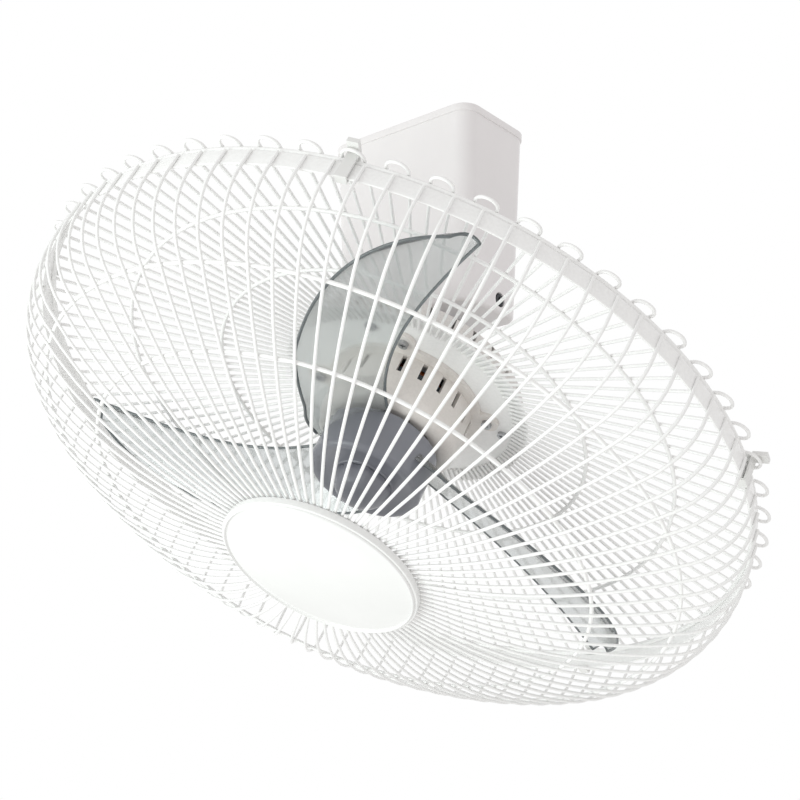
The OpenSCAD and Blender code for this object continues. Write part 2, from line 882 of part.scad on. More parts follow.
module rear_guard_wires() {
    color("white")
        in_head()
            translate([0, 0, cone_apex])
                for (i = [0:rear_hairpins - 1])
                    rotate([0, 0, i * 360 / rear_hairpins])
                        rotate([0, -rear_slope, 0]) hairpin();
}

module rear_guard_hoops() {
    lift = (wire_r + hoop_wire_r - weld) / cos(rear_slope);
    color("white")
        in_head() {
            for (r = rear_hoops) hoop(r, cone_apex + r * tan(rear_slope) + lift, hoop_wire_r);
            hoop(rim_ring_r, rim_ring_z, rim_wire_r);
        }
}

// stations along a front wire: a point, and the direction that faces out of the cage there
function front_stations() = concat(
    [[[ring_r, 0, band_z + 1], [1, 0, 0]]],
    [for (k = [0:knee_steps])
        let (a = knee_turn * k / knee_steps)
            [[knee_centre[0] + knee_r * cos(a), 0, knee_centre[1] + knee_r * sin(a)],
             [cos(a), 0, sin(a)]]],
    [for (k = [1:wide_steps])
        let (a = knee_turn + (90 - knee_turn) * k / wide_steps)
            [[wide_centre[0] + wide_r * cos(a), 0, wide_centre[1] + wide_r * sin(a)],
             [cos(a), 0, sin(a)]]]);

// the section of a wire at a station, with one corner towards the inside of the cage
function wire_section(station) = [
    for (k = [0:wire_sides - 1])
        let (a = 180 - 360 * k / wire_sides)
            station[0] + wire_r * (cos(a) * station[1] + sin(a) * [0, 1, 0])];

module front_wire() {
    skin([for (station = front_stations()) wire_section(station)]);
}

module front_guard_wires() {
    color("white")
        in_head()
            for (i = [0:front_wires - 1]) rotate([0, 0, i * 360 / front_wires]) front_wire();
}

// a hoop touches the inner side of the wide arc at radius r
function inner_hoop(r) =
    let (away = acos((r - wide_centre[0]) / wide_r), reach = wide_r - wire_r - hoop_wire_r + weld)
        wide_centre + reach * [cos(away), sin(away)];

module front_guard_hoops() {
    color("white")
        in_head()
            for (r = front_hoops)
                let (p = inner_hoop(r)) hoop(p[0], p[1], hoop_wire_r);
}

module front_rim_band() {
    color("white")
        in_head()
            rotate_extrude($fn = 180)
                translate([band_r - band_t / 2, band_z + band_h / 2])
                    rounded_rect([band_t, band_h], 0.5);
}

module front_boss_disc() {
    top = face_z - wire_r + weld;
    color("gainsboro")
        in_head()
            difference() {
                translate([0, 0, top - boss_t]) cylinder(r = boss_r + 6, h = boss_t);
                ring_of(3, 36) translate([0, 0, top]) cube([3.4, 8.4, 10], center = true);
                ring_of(6, 22, 30) translate([0, 0, top - 5]) cylinder(r = 6, h = 10);
            }
}

module center_cap() {
    low = face_z + wire_r + 0.2;
    side_h = 4;
    dome_r = (pow(cap_r - 1.5, 2) + pow(cap_h - side_h, 2)) / (2 * (cap_h - side_h));
    color("white")
        in_head() {
            difference() {
                intersection() {
                    union() {
                        translate([0, 0, low]) cylinder(r = cap_r, h = side_h, $fn = 96);
                        translate([0, 0, low]) cylinder(r = cap_r - 1.5, h = cap_h, $fn = 96);
                    }
                    translate([0, 0, low + cap_h - dome_r]) sphere(r = dome_r, $fn = 360);
                }
                translate([0, 0, low - cut]) cylinder(r = cap_r - 2.5, h = cut + 2.4, $fn = 96);
            }
            // three snap legs through the boss disc
            ring_of(3, 36) {
                translate([-1, -3.5, low - 5]) cube([2, 7, 8]);
                translate([-1, -3.5, low - 6.2]) cube([3.2, 7, 1.6]);
            }
        }
}

module rim_clips() {
    t = 1.2;
    wide = 6;
    inner = band_r + 1;
    front = band_z + band_h + 0.3;
    rear = rim_ring_z - rim_wire_r - 2.6;
    color("white")
        in_head()
            ring_of(clip_count, 0, clip_first)
                translate([0, wide / 2, 0])
                    rotate([90, 0, 0])
                        linear_extrude(wide) {
                            translate([inner, rear]) square([t, front + t - rear]);
                            translate([inner - 3.6, front]) square([3.6 + t, t]);
                            translate([inner - 4.5, rear]) square([4.5 + t, t]);
                            translate([inner, rear - 1.5]) square([8, t + 1.5]);
                            translate([inner - 3.6, front - 1.4]) square([0.8, 2]);
                        }
}

// ---------------------------------------------------------------- rotor

module motor_shaft() {
    color("silver")
        in_head()
            difference() {
                union() {
                    translate([0, 0, shaft_back]) cylinder(r = shaft_r, h = hub_z[1] - shaft_back);
                    translate([0, 0, hub_z[1] - 1])
                        cylinder(r = shaft_r - 1, h = shaft_front - hub_z[1] + 1);
                }
                translate([-10, 0, hub_z[0] + 2.6])
                    rotate([0, 90, 0]) cylinder(r = drive_pin_r, h = 20, $fn = 24);
            }
}

module rotor_core() {
    color("slategray")
        in_head()
            difference() {
                union() {
                    translate([0, 0, stack_z]) cylinder(r = rotor_r, h = stack_h, $fn = 96);
                    translate([0, 0, stack_z - rotor_end_h])
                        tube(rotor_r - 1, 13, stack_h + 2 * rotor_end_h);
                    ring_of(8, 17)
                        translate([-2, -0.7, stack_z + stack_h]) cube([4, 1.4, rotor_end_h + 1.2]);
                }
                translate([0, 0, -50]) cylinder(r = shaft_r + 0.01, h = 60);
            }
}

// trailing edge of a blade: it swells out of the hub's wall, is widest at widest_x and rounds
// off to the swept tip
function swell(x) = chord - root_narrowing * pow((widest_x - x) / widest_x, 1.4);
function trailing(x) = x < hub_r
    ? hub_r - 2.5 + (swell(hub_r) - hub_r + 2.5) * pow(sin(90 * (x - blade_in) / (hub_r - blade_in)), 0.8)
    : x < widest_x
        ? swell(x)
        : (chord + sweep) * sqrt(max(0, 1 - pow((x - widest_x) / (tip_r + 2 - widest_x), 2.4))) - sweep;

// leading edge: inside the hub it follows the hub's wall, then it is hollow and sweeps forward
function leading(x) = x < hub_r - 4
    ? sqrt(pow(hub_r - 4, 2) - x * x)
    : let (share = (x - hub_r + 4) / (tip_r - hub_r + 4))
        hollow * sin(180 * pow(share, 0.8)) - sweep * pow(share, 2.2);

function pitch_at(x) = root_pitch + (tip_pitch - root_pitch) * min(1, max(0, x - hub_r) / (tip_r - hub_r));

// a point of the blade's middle surface, t from leading to trailing edge
function blade_point(x, t) =
    let (y = leading(x) + (trailing(x) - leading(x)) * t)
        [x, y, blade_z + (y - chord / 2) * tan(pitch_at(x)) - 4 * camber * t * (1 - t)];

// a station's closed outline: out along the rear face and back along the front face
function blade_loop(x, steps) =
    let (half = [for (i = [0:steps]) let (t = i / steps)
                    blade_t * (0.22 + 0.28 * pow(sin(180 * t), 0.6)) * (x > tip_r - 4 ? 0.8 : 1)])
        concat(
            [for (i = [0:steps]) blade_point(x, i / steps) - [0, 0, half[i]]],
            [for (i = [steps:-1:0]) blade_point(x, i / steps) + [0, 0, half[i]]]);

module blade() {
    stations = concat([blade_in, 7, 12, 19, 25, 29], [for (x = [36:14:162]) x],
        [174, 182, 188, 192, tip_r - 2]);
    skin([for (x = stations) blade_loop(x, 8)]);
}

module fan_blades() {
    color("lightsteelblue")
        in_head()
            difference() {
                union() {
                    translate([0, 0, hub_z[0]]) cylinder(r = hub_r, h = hub_z[1] - hub_z[0] - 2);
                    translate([0, 0, hub_z[1] - 2]) cylinder(r1 = hub_r, r2 = hub_r - 2, h = 2);
                    ring_of(3, 0, blade_first) blade();
                }
                translate([0, 0, hub_z[0] - cut]) {
                    cylinder(r = shaft_r + 0.02, h = 40);
                    tube(hub_r - 7, 10, 15);
                }
                translate([0, 0, hub_z[0] + 2]) cube([21, 3.2, 6], center = true);
            }
}

module drive_pin() {
    color("gray")
        in_head()
            translate([-10, 0, hub_z[0] + 2.6])
                rotate([0, 90, 0]) cylinder(r = drive_pin_r - 0.01, h = 20, $fn = 24);
}

module spinner_nut() {
    r = 17;
    dome_h = 12;
    ball = (r * r + dome_h * dome_h) / (2 * dome_h);
    color("lightsteelblue")
        in_head()
            translate([0, 0, hub_z[1] + seat])
                difference() {
                    intersection() {
                        cylinder(r = r, h = dome_h + 3);
                        translate([0, 0, dome_h + 3 - ball]) sphere(r = ball, $fn = 96);
                    }
                    translate([0, 0, -cut]) cylinder(r = shaft_r - 1, h = 11 + cut);
                    ring_of(10, r + 1.4) translate([0, 0, -cut]) cylinder(r = 2.4, h = 8, $fn = 24);
                }
}

// ---------------------------------------------------------------- the assembly

ceiling_plate();
cable_grommet();
hanger_frame();
frame_rivets();
canopy_cover();
canopy_screws();
socket_housing();
socket_bolts();
socket_retainer();
retainer_screws();
swing_motor();
swing_motor_screws();
terminal_block();
run_capacitor();
capacitor_clip();
crank_disc();
crank_bush();
swing_shaft();
crank_screw();
pivot_ball();
guide_pin();
neck_screws();
rear_cover();
rear_cover_screws();
rear_end_bell();
front_end_bell();
end_bell_screws();
rear_bearing_bush();
front_bearing_bush();
stator_core();
stator_windings();
rear_guard_plate();
rear_guard_wires();
rear_guard_hoops();
front_guard_wires();
front_guard_hoops();
front_rim_band();
front_boss_disc();
center_cap();
rim_clips();
motor_shaft();
rotor_core();
fan_blades();
drive_pin();
spinner_nut();
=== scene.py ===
"""Looks of the caged orbital ceiling fan: guard wires, blades, canopy, cap and their finishes.

Lengths of the fan are in millimetres, as on the drawing; in_head() and at_ceiling() turn them to
metres. Pieces of the head are drawn in the head's own frame: z runs forward along the fan's axis
and z = 0 is the plane of the cage's rim. The canopy is drawn under the ceiling at z = 0. The
floor, the lamps and the camera are in metres.
"""
import json
import math

import bmesh
import bpy
import numpy as np
from mathutils import Matrix, Vector

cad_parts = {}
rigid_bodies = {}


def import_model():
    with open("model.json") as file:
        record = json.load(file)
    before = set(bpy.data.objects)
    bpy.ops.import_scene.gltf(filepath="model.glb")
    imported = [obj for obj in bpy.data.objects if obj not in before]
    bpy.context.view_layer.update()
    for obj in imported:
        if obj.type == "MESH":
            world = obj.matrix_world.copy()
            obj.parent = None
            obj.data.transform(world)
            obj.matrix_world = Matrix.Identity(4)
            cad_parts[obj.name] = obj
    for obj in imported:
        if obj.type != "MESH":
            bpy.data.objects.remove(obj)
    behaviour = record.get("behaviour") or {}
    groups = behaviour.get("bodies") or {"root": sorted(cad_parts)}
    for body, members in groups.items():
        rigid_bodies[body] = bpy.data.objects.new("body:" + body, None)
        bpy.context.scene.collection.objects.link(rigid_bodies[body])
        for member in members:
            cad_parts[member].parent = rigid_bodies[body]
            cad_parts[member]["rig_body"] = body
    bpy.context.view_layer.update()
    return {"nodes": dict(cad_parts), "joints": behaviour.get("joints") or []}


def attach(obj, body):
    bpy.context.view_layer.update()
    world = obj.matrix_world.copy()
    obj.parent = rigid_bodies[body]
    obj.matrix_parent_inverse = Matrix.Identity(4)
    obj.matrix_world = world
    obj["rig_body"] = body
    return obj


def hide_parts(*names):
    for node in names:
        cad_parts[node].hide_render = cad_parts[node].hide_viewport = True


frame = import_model()
joints = {joint["name"]: joint for joint in frame["joints"]}

MM = 0.001

# ---------------------------------------------------------------- sizes shared with the drawing

PIVOT_BACK = 66.0               # pivot ball to the plane of the rim
WELD = 0.05                     # depth to which welded wires sink into each other
SEAT = 0.05                     # gap between pieces that are only laid together

RING_R = 213.0                  # cage, at the middle of its wires
WIRE_R = 0.9
WIRE_SIDES = 5                  # the drawing's front wires have five flats
FLATS_IN = WIRE_R * (1 - math.cos(math.pi / WIRE_SIDES)) + 0.01
FRONT_WIRES = 90
WIRE_FOOT = 1.0                 # start of a front wire above the band's foot
WALL_H = 14.0                   # straight side wall of a front wire
KNEE_R = 40.0
KNEE_TURN = 60.0                # degrees
BOSS_R = 46.0
FRONT_HOOPS = (145.0, 187.0)
REAR_HAIRPINS = 60
REAR_HOOPS = (112.0, 165.0)
HOOP_WIRE_R = 1.1
RIM_WIRE_R = 1.6
BAND_T = 1.3
BAND_H = 10.0
BAND_EDGE_R = 0.55
PLATE_FRONT = -34.0             # front face of the rear guard's plate
CONE_START = 62.0               # where the rear wires leave that plate
CONE_RIM_Z = -5.3               # how far forward they have come at the ring
LEG_END = 66.0                  # inner end of a hairpin's legs
LOOP_OUT = 3.0                  # centre of a rear loop past the ring

CAP_R = 57.0
CAP_H = 10.0
CAP_GAP = 0.2                   # from the wires to the cap's back
CAP_STEP = 1.5                  # from the cap's side in to its dome
CAP_SIDE = 4.0                  # height of that step
CAP_FILLET = 1.2
CAP_HOLLOW = 2.4

TIP_R = 198.0
CHORD = 56.0
SWEEP = 12.0                    # how far the tip lies forward of the leading edge
HOLLOW = 12.0                   # depth of the leading edge's hollow
BLADES = 3
BLADE_FIRST = 2.0               # degrees from the head's x to the first blade
ROOT_NARROWING = 24.0
ROOT_SINK = 2.5                 # trailing root inside the hub's wall
WALL_SINK = 4.0                 # leading root inside the hub's wall
TIP_OVER = 1.4                  # the outline would close this far past the tip
ROOT_PITCH = 26.0               # degrees
TIP_PITCH = 15.0                # degrees
CAMBER = 4.0
BLADE_T = 2.0
BLADE_Z = 16.5
BLADE_IN = 3.0                  # a blade's root, inside the hub
WIDEST_X = 88.0
BEAD_R = 0.85
HUB_R = 33.0
HUB_Z = (3.5, 31.0)             # back and front
HUB_EDGE_R = 3.0
HUB_BORE_R = 4.1
HUB_HOLLOW_R = HUB_R - 7
HUB_DISH = 0.8                  # depth of the face between its two ridges
SPINNER_R = 17.0
SPINNER_DOME = 12.0
SCALLOPS = 10
SCALLOP_DEPTH = 1.3
SCALLOP_FADE = 9.0              # height at which the scallops have run out

CANOPY = (106.0, 62.0, 121.0)   # length, width and height
DRAFT = 4.0                     # each wall leans in by this over the height
CORNER_R = 11.0
SHELL_T = 2.4
BRIM_H = 5.0
BRIM_STEP = 0.8
FOOT_R = 2.4
CUP_R = 22.0                    # the socket that comes out of the canopy's foot
CUP_GAP = 0.8
FRAME_L = 89.0                  # the hanger frame, which the canopy's screws go into
CANOPY_SCREW = (6.0, -113.0)    # off the middle line, and height
RECESS_R = 4.4

# The rear wires lie on a flat cone. The front wires are a wall, a knee and a wide arc that meet
# tangent to tangent, and the wide arc ends flat at the boss.
REAR_SLOPE = math.atan((CONE_RIM_Z - PLATE_FRONT) / (RING_R - CONE_START))
CONE_APEX = PLATE_FRONT + (WIRE_R - WELD) / math.cos(REAR_SLOPE) - CONE_START * math.tan(REAR_SLOPE)
LOOP_CENTRE = RING_R + LOOP_OUT
HAIRPIN_HALF = math.pi / REAR_HAIRPINS / 2
RIM_RING_R = RING_R - WIRE_R - RIM_WIRE_R
RIM_RING_Z = (CONE_APEX + RIM_RING_R * math.tan(REAR_SLOPE)
              + (WIRE_R + RIM_WIRE_R - WELD) / math.cos(REAR_SLOPE))
BAND_Z = RIM_RING_Z + RIM_WIRE_R + SEAT
BAND_R = RING_R - WIRE_R + WELD
WIDE_R = KNEE_R + (RING_R - KNEE_R - BOSS_R) / math.cos(math.radians(KNEE_TURN))
KNEE_CENTRE = (RING_R - KNEE_R, BAND_Z + WALL_H)
WIDE_CENTRE = (BOSS_R, KNEE_CENTRE[1] - (WIDE_R - KNEE_R) * math.sin(math.radians(KNEE_TURN)))
FACE_Z = WIDE_CENTRE[1] + WIDE_R


# ---------------------------------------------------------------- placing

def head_frame():
    """The head's axes as columns, and its origin: forward is the spin axis, x lies in its lean."""
    forward = np.array(joints["fan_spin"]["axis"], float)
    forward /= np.linalg.norm(forward)
    across = np.cross([0, 0, 1], forward)
    across /= np.linalg.norm(across)
    return np.stack([np.cross(across, forward), across, forward], axis=1), \
        np.array(joints["orbit_turn"]["pos_m"], float)


HEAD_AXES, PIVOT = head_frame()


def in_head(points):
    """Millimetres in the head's frame to metres in the shared frame."""
    moved = np.asarray(points, float) + [0, 0, PIVOT_BACK]
    return PIVOT + moved @ HEAD_AXES.T * MM


def at_ceiling(points):
    """Millimetres under the ceiling to metres in the shared frame."""
    return np.asarray(points, float) * MM


# ---------------------------------------------------------------- surfaces

def grid_quads(rows, columns, wrap_rows=False, wrap_columns=True):
    """Quads of a rows by columns grid of points, as one array of corner numbers."""
    r = np.arange(rows if wrap_rows else rows - 1)[:, None]
    c = np.arange(columns if wrap_columns else columns - 1)[None, :]
    r2, c2 = (r + 1) % rows, (c + 1) % columns
    corners = [r * columns + c, r * columns + c2, r2 * columns + c2, r2 * columns + c]
    return np.stack([np.broadcast_to(k, (len(r), c.shape[1])) for k in corners], -1).reshape(-1, 4)


def closed_mesh(name, points, faces):
    """A mesh whose faces look outward."""
    mesh = bpy.data.meshes.new(name)
    corners = [[int(corner) for corner in face] for face in faces]
    mesh.from_pydata(np.asarray(points).reshape(-1, 3).tolist(), [], corners)
    shape = bmesh.new()
    shape.from_mesh(mesh)
    bmesh.ops.recalc_face_normals(shape, faces=shape.faces)
    shape.to_mesh(mesh)
    shape.free()
    return mesh


def in_scene(name, data):
    """A new object for a mesh, a lamp or a lens."""
    thing = bpy.data.objects.new(name, data)
    bpy.context.scene.collection.objects.link(thing)
    return thing


def make_piece(name, points, faces, finish, body, sharp=40.0):
    """A smooth-shaded mesh with sharp edges past an angle in degrees, riding on a body."""
    mesh = closed_mesh(name, points, faces)
    mesh.shade_smooth()
    mesh.set_sharp_from_angle(angle=math.radians(sharp))
    mesh.materials.append(finish)
    piece = in_scene(name, mesh)
    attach(piece, body)
    return piece


def revolved(profile, turns=180):
    """A closed (radius, z) profile turned about z: x = radius cos a, y = radius sin a."""
    profile = np.asarray(profile, float)
    a = np.linspace(0, 2 * np.pi, turns, endpoint=False)[:, None]
    points = np.stack([np.cos(a) * profile[:, 0], np.sin(a) * profile[:, 0],
                       np.broadcast_to(profile[:, 1], (turns, len(profile)))], -1)
    return points, grid_quads(turns, len(profile), wrap_rows=True)


def torus_rings(rings, sides=12, turns=240):
    """Rings given as (radius, z, section radius): a circle of the section radius about
    (radius, z) is carried round z."""
    points, faces, count = [], [], 0
    for radius, z, section in rings:
        t = np.linspace(0, 2 * np.pi, sides, endpoint=False)
        circle = np.stack([radius + section * np.cos(t), z + section * np.sin(t)], 1)
        part, quads = revolved(circle, turns)
        points.append(part.reshape(-1, 3))
        faces.append(quads + count)
        count += turns * sides
    return np.concatenate(points), np.concatenate(faces)


def turned_copies(points, count):
    """The same points turned about z to count equal places, along a new first axis."""
    a = 2 * np.pi * np.arange(count) / count
    turn = np.zeros((count, 3, 3))
    turn[:, 0, 0] = turn[:, 1, 1] = np.cos(a)
    turn[:, 0, 1], turn[:, 1, 0], turn[:, 2, 2] = -np.sin(a), np.sin(a), 1
    return np.einsum("cij,...j->c...i", turn, points)


def swept_wire(path, plane_normal, radius, sides=8):
    """A round section carried along a path that lies in one plane.
    A point is path + radius (cos t times the in-plane normal + sin t times the plane's normal)."""
    tangent = np.gradient(path, axis=0)
    tangent /= np.linalg.norm(tangent, axis=1, keepdims=True)
    outward = np.cross(tangent, plane_normal)
    t = np.linspace(0, 2 * np.pi, sides, endpoint=False)[None, :, None]
    return path[:, None] + radius * (np.cos(t) * outward[:, None] + np.sin(t) * plane_normal)


def wires(one, count):
    """Copies of one swept wire about z, with both ends of each closed."""
    rings, sides = one.shape[:2]
    points = turned_copies(one, count).reshape(-1, 3)
    first = (np.arange(count) * rings * sides)[:, None, None]
    quads = (grid_quads(rings, sides)[None] + first).reshape(-1, 4)
    end = np.arange(sides)[None]
    last = first[:, 0] + (rings - 1) * sides
    caps = np.concatenate([end + first[:, 0], end[:, ::-1] + last])
    return points, list(quads) + list(caps)


def arc(centre, radius, start, stop, count):
    """Points (x, z) on a circle between two angles in degrees."""
    a = np.radians(np.linspace(start, stop, count))
    return np.stack([centre[0] + radius * np.cos(a), centre[1] + radius * np.sin(a)], 1)


def front_wire_path():
    """Straight side wall, then the knee's arc, then the wide arc that ends flat under the cap.
    The round wire lies as far in as the flats of the drawing's five-sided wire."""
    inner = RING_R - FLATS_IN
    wall_share, knee_points, wide_points = 0.6, 9, 10
    flat = np.concatenate([
        [[inner, BAND_Z + WIRE_FOOT], [inner, BAND_Z + WALL_H * wall_share]],
        arc(KNEE_CENTRE, KNEE_R - FLATS_IN, 0, KNEE_TURN, knee_points),
        arc(WIDE_CENTRE, WIDE_R - FLATS_IN, KNEE_TURN, 90, wide_points)[1:]])
    return np.stack([flat[:, 0], np.zeros(len(flat)), flat[:, 1]], 1)


def hairpin_path():
    """Out along one leg, round the loop past the rim, and back along the other leg."""
    half = HAIRPIN_HALF
    leg = LOOP_CENTRE * math.cos(half)
    loop_r = LOOP_CENTRE * math.sin(half)
    leg_points, loop_points = 4, 15
    away = np.linspace(LEG_END, leg, leg_points)[:-1, None]
    turn = np.linspace(-np.pi / 2 - half, np.pi / 2 + half, loop_points)
    loop = np.stack([LOOP_CENTRE + loop_r * np.cos(turn), loop_r * np.sin(turn)], 1)
    out = away * [math.cos(half), -math.sin(half)]
    back = away[::-1] * [math.cos(half), math.sin(half)]
    flat = np.concatenate([out, loop, back])
    s, c = math.sin(REAR_SLOPE), math.cos(REAR_SLOPE)
    return np.stack([flat[:, 0] * c, flat[:, 1], flat[:, 0] * s + CONE_APEX], 1)


def rounded_loop(half_x, half_y, radius, z, per_corner=12):
    """A rectangle with round corners: each corner is a quarter circle about its own centre."""
    a = np.linspace(0, np.pi / 2, per_corner)
    quarter = np.arange(4)[:, None] * np.pi / 2 + a
    sx = np.array([1, -1, -1, 1])[:, None]
    sy = np.array([1, 1, -1, -1])[:, None]
    x = sx * (half_x - radius) + radius * np.cos(quarter)
    y = sy * (half_y - radius) + radius * np.sin(quarter)
    return np.stack([x, y, np.full_like(x, z)], -1).reshape(-1, 3)


def lofted(loops):
    """A skin through closed loops of equal length, with flat ends."""
    loops = np.asarray(loops)
    rows, columns = loops.shape[:2]
    end = np.arange(columns)
    faces = list(grid_quads(rows, columns)) + [end[::-1], end + (rows - 1) * columns]
    return loops.reshape(-1, 3), faces


# ---------------------------------------------------------------- colours and node helpers

def linear(code, alpha=1.0):
    """An sRGB hex value as the linear colour that a shader reads."""
    c = np.array([int(code[k:k + 2], 16) for k in (1, 3, 5)]) / 255
    return (*np.where(c <= 0.04045, c / 12.92, ((c + 0.055) / 1.055) ** 2.4), alpha)


def add(tree, kind, settings=None, **links):
    """A node with its settings, and links given as input name = (node, output name)."""
    node = tree.nodes.new(kind)
    for name, value in (settings or {}).items():
        if name in node.inputs:
            node.inputs[name].default_value = value
        else:
            setattr(node, name, value)
    for name, (source, output) in links.items():
        tree.links.new(source.outputs[output], node.inputs[name.replace("_", " ")])
    return node


def start_material(name, colour, roughness, metallic=0.0, **extra):
    """A material with one principled shader, and its coordinates in metres."""
    material = bpy.data.materials.new(name)
    material.use_nodes = True
    tree = material.node_tree
    tree.nodes.clear()
    settings = {"Base Color": linear(colour), "Roughness": roughness, "Metallic": metallic}
    settings.update({key.replace("_", " "): value for key, value in extra.items()})
    shader = add(tree, "ShaderNodeBsdfPrincipled", settings)
    add(tree, "ShaderNodeOutputMaterial", Surface=(shader, "BSDF"))
    place = add(tree, "ShaderNodeTexCoord")
    return material, tree, shader, place


def grain(tree, place, size_mm, detail=3.0):
    """Noise whose features are about size_mm across."""
    return add(tree, "ShaderNodeTexNoise", {"Scale": 1000.0 / size_mm, "Detail": detail},
               Vector=(place, "Object"))


def bands(pitch_mm, waves=20.0):
    """Scale of a wave texture for a pitch. In one unit its angle grows by 20 along an axis, and
    by 10 times the root of 3 along the diagonal."""
    return 2 * math.pi / waves / (pitch_mm * MM)


def between(tree, source, output, low, high, start=0.35, stop=0.65):
    """Two colours mixed by a factor that is spread between start and stop."""
    ramp = add(tree, "ShaderNodeValToRGB", Fac=(source, output))
    ramp.color_ramp.elements[0].position = start
    ramp.color_ramp.elements[0].color = linear(low)
    ramp.color_ramp.elements[1].position = stop
    ramp.color_ramp.elements[1].color = linear(high)
    return ramp


def spread(tree, source, output, low, high):
    """A number that follows a factor from low to high."""
    return add(tree, "ShaderNodeMapRange", {"To Min": low, "To Max": high}, Value=(source, output))


def coloured(tree, shader, tint):
    """Leads a colour to the shader."""
    tree.links.new(tint.outputs["Color"], shader.inputs["Base Color"])


def roughened(tree, shader, rough):
    """Leads a roughness to the shader."""
    tree.links.new(rough.outputs["Result"], shader.inputs["Roughness"])


def relief(tree, shader, source, output, height_mm, strength=0.5):
    """A bump of the given height."""
    bump = add(tree, "ShaderNodeBump", {"Strength": strength, "Distance": height_mm * MM},
               Height=(source, output))
    tree.links.new(bump.outputs["Normal"], shader.inputs["Normal"])


# ---------------------------------------------------------------- finishes

def powder_coat(name, colour, shade):
    """Metal, degreased and powder coated: a soft gloss over a faint orange peel. The peel's
    cells are about 1.5 mm on the real coat."""
    material, tree, shader, place = start_material(name, colour, 0.32, IOR=1.5,
                                                   Coat_Weight=0.5, Coat_Roughness=0.2)
    peel = grain(tree, place, 1.5, 2.0)
    tint = between(tree, peel, "Fac", shade, colour)
    coloured(tree, shader, tint)
    relief(tree, shader, peel, "Fac", 0.05, 0.35)
    return material


def gloss_abs(name, colour, shade, roughness, peel_mm=3.0):
    """Injection-moulded ABS from a polished mould: even colour, clear gloss, and the long
    shallow waves that shrinkage leaves."""
    material, tree, shader, place = start_material(name, colour, roughness, IOR=1.53)
    cloud = grain(tree, place, 40.0, 2.0)
    tint = between(tree, cloud, "Fac", shade, colour)
    coloured(tree, shader, tint)
    fine = grain(tree, place, peel_mm, 4.0)
    rough = spread(tree, fine, "Fac", roughness * 0.85, roughness * 1.25)
    roughened(tree, shader, rough)
    relief(tree, shader, fine, "Fac", 0.02, 0.25)
    return material


def spark_plastic(name, colour, shade, grain_mm=0.9):
    """Moulded against a spark-eroded face: matt, with a grain that is drawn at 0.9 mm, a little
    coarser than the real one, so that it shows."""
    material, tree, shader, place = start_material(name, colour, 0.5, IOR=1.5)
    cells = grain(tree, place, grain_mm, 2.0)
    tint = between(tree, cells, "Fac", shade, colour)
    coloured(tree, shader, tint)
    relief(tree, shader, cells, "Fac", 0.06, 0.4)
    return material


def smoke_san(name, colour, clearness, roughness=0.06):
    """Moulded SAN with a smoke dye: clear, hard and glossy, darker where it is seen edge on. The
    melt leaves shallow flow waves about 55 mm long."""
    material, tree, shader, place = start_material(name, colour, roughness, IOR=1.57)
    shader.inputs["Transmission Weight"].default_value = clearness
    flow = add(tree, "ShaderNodeTexNoise",
               {"Scale": 1000.0 / 55, "Detail": 2.0, "Distortion": 1.2},
               Vector=(place, "Object"))
    relief(tree, shader, flow, "Fac", 0.25, 0.2)
    return material


def zinc_sheet():
    """Hot-dip galvanised sheet: dull grey with crystals of zinc about 7 mm across."""
    material, tree, shader, place = start_material("galvanised_sheet", "#b4b7ba", 0.42, 1.0)
    crystals = add(tree, "ShaderNodeTexVoronoi", {"Scale": 1000.0 / 7}, Vector=(place, "Object"))
    tint = between(tree, crystals, "Color", "#9da1a5", "#c3c6c8", 0.1, 0.9)
    coloured(tree, shader, tint)
    rough = spread(tree, crystals, "Color", 0.32, 0.55)
    roughened(tree, shader, rough)
    return material


def turned_metal(name, colour, shade, roughness, line_mm=0.5):
    """Turned or ground metal: bright, with tool marks. The noise's finest octave, a quarter of
    its scale, is drawn at 0.5 mm, coarser than the real marks, so that they show."""
    material, tree, shader, place = start_material(name, colour, roughness, 1.0)
    lines = add(tree, "ShaderNodeTexNoise", {"Scale": 1000.0 / line_mm / 4, "Detail": 2.0,
                                             "Distortion": 0.4}, Vector=(place, "Object"))
    tint = between(tree, lines, "Fac", shade, colour, 0.3, 0.7)
    coloured(tree, shader, tint)
    rough = spread(tree, lines, "Fac", roughness * 0.7, roughness * 1.4)
    roughened(tree, shader, rough)
    return material


def die_cast():
    """Die-cast aluminium alloy as it leaves the mould: grey, with faint flow marks about 17 mm
    long and a grain of 0.8 mm."""
    material, tree, shader, place = start_material("cast_alloy", "#b9bcbf", 0.45, 0.9)
    flow = add(tree, "ShaderNodeTexNoise",
               {"Scale": 1000.0 / 17, "Detail": 5.0, "Distortion": 1.5},
               Vector=(place, "Object"))
    tint = between(tree, flow, "Fac", "#a7aaae", "#c4c7ca")
    coloured(tree, shader, tint)
    relief(tree, shader, grain(tree, place, 0.8), "Fac", 0.05, 0.4)
    return material


def laminations():
    """A stack of 0.5 mm silicon steel sheets, varnished: fine dark lines across the fan's axis,
    drawn 1 mm apart so that they show."""
    material, tree, shader, place = start_material("core_steel", "#4b4e52", 0.5, 0.8)
    along = add(tree, "ShaderNodeMapping", Vector=(place, "Object"))
    along.vector_type = "TEXTURE"
    along.inputs["Rotation"].default_value = Matrix(HEAD_AXES.tolist()).to_euler()
    sheets = add(tree, "ShaderNodeTexWave", {"Scale": bands(1.0), "bands_direction": "Z"},
                 Vector=(along, "Vector"))
    tint = between(tree, sheets, "Fac", "#2e3135", "#5d6166", 0.2, 0.8)
    coloured(tree, shader, tint)
    return material


